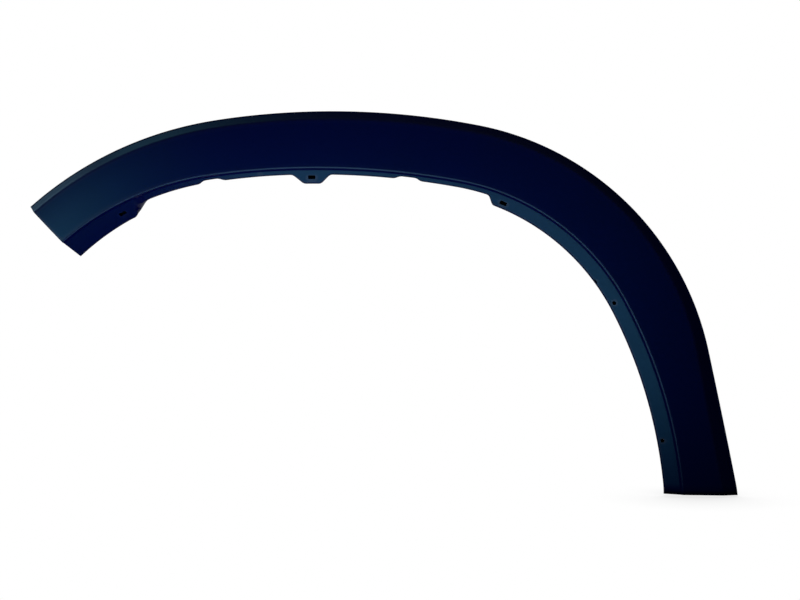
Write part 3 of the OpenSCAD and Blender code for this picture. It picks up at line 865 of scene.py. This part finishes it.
# The lamps: soft boxes, which no camera sees. A strong one stands low at the front left, a weak
# one lights the leg like a window, three bluish ones hang high at the left and behind, and four
# lie on the floor, under the arch and in front of it, and light the flange.

PALE_SKY, SKY = "#B0E4FF", "#90E6FF"
LAMP_Z = FLOOR_Z + 0.01


def soft_box(name, at, aim, width, height, strength, colour=WHITE):
    """A rectangular soft box. Its strength is how bright it looks: 1 is a white card in full
    light."""
    light = bpy.data.lights.new(name, "AREA")
    light.shape, light.size, light.size_y = "RECTANGLE", width, height
    light.energy = strength * math.pi * width * height
    light.color = linear(colour)[:3]
    lamp = bpy.data.objects.new(name, light)
    bpy.context.scene.collection.objects.link(lamp)
    lamp.location = at
    lamp.rotation_mode = "QUATERNION"
    lamp.rotation_quaternion = (Vector(aim) - Vector(at)).to_track_quat("-Z", "Y")
    lamp.visible_camera = False


def floor_box(name, x, y, width, height, strength):
    soft_box(name, (x, y, LAMP_Z), (x, y, 1), width, height, strength)


soft_box("front_left_box", (-1.185, -1.0, -0.18), (-0.35, 0, 0), 0.62, 0.36, 11.5)
soft_box("window", (0.75, -1.7, 0.15), (0.3, 0, -0.05), 0.5, 0.5, 0.35)
soft_box("sky_left_box", (-1.35, 0.35, 0.7), (-0.3, 0, 0), 0.5, 0.5, 3.05, PALE_SKY)
soft_box("sky_upper_box", (-0.9, 0.3, 1.12), (-0.25, 0, 0.03), 0.7, 0.5, 1.0, SKY)
soft_box("sky_top_box", (-0.45, 0.33, 1.3), (-0.1, 0, 0.05), 0.4, 0.4, 0.45, SKY)
floor_box("floor_box", -0.075, -0.2, 0.45, 0.2, 5.2)
floor_box("floor_foot_box", 0.22, -0.16, 0.12, 0.2, 1.8)
floor_box("floor_leg_box", 0.14, -0.38, 0.2, 0.14, 7.0)
floor_box("floor_front_box", -0.05, -0.525, 0.5, 0.35, 7.0)


# The room: white wherever it is looked at. As light it is a dim, even glow from its painted walls,
# brighter from the ceiling, which softens the dark of the bevel.

WALL_GLOW, CEILING_GLOW = "#606060", "#E0E0E0"
CEILING_FROM, CEILING_FULL = 0.35, 0.9

world = bpy.data.worlds.new("white_room")
bpy.context.scene.world = world
world.use_nodes = True
tree = world.node_tree
tree.nodes.clear()
up = node(
    tree,
    "ShaderNodeSeparateXYZ",
    inputs={0: node(tree, "ShaderNodeTexCoord").outputs["Generated"]},
).outputs["Z"]
overhead = node(
    tree,
    "ShaderNodeMapRange",
    inputs={"Value": up, "From Min": CEILING_FROM, "From Max": CEILING_FULL},
).outputs[0]
glow = node(
    tree,
    "ShaderNodeMix",
    {"data_type": "RGBA"},
    {"Factor": overhead, "A": linear(WALL_GLOW), "B": linear(CEILING_GLOW)},
).outputs["Result"]
paint = node(
    tree,
    "ShaderNodeMix",
    {"data_type": "RGBA"},
    {"Factor": looked_at(tree), "A": glow, "B": linear(WHITE)},
).outputs["Result"]
room = node(tree, "ShaderNodeBackground", inputs={"Color": paint, "Strength": 1.0}).outputs[0]
node(tree, "ShaderNodeOutputWorld", inputs={"Surface": room})


# The camera stands 1.5 m in front of the face, level, a little above the middle of the arch. Its
# short portrait lens makes one pixel of an 800 by 600 picture 1.2 mm on the face.

CAMERA_AT = np.array([59.9, -1500.0, 265.0])
SENSOR_WIDTH, PICTURE_PIXELS, LENS_PIXELS = 36.0, 800, 1250

camera = bpy.data.objects.new("camera", bpy.data.cameras.new("camera"))
bpy.context.scene.collection.objects.link(camera)
camera.location = (CAMERA_AT - zero) / 1000
camera.rotation_euler = (math.radians(90), 0, 0)
camera.data.sensor_width = SENSOR_WIDTH
camera.data.lens = SENSOR_WIDTH * LENS_PIXELS / PICTURE_PIXELS
bpy.context.scene.camera = camera

bpy.context.scene.view_settings.view_transform = "Standard"
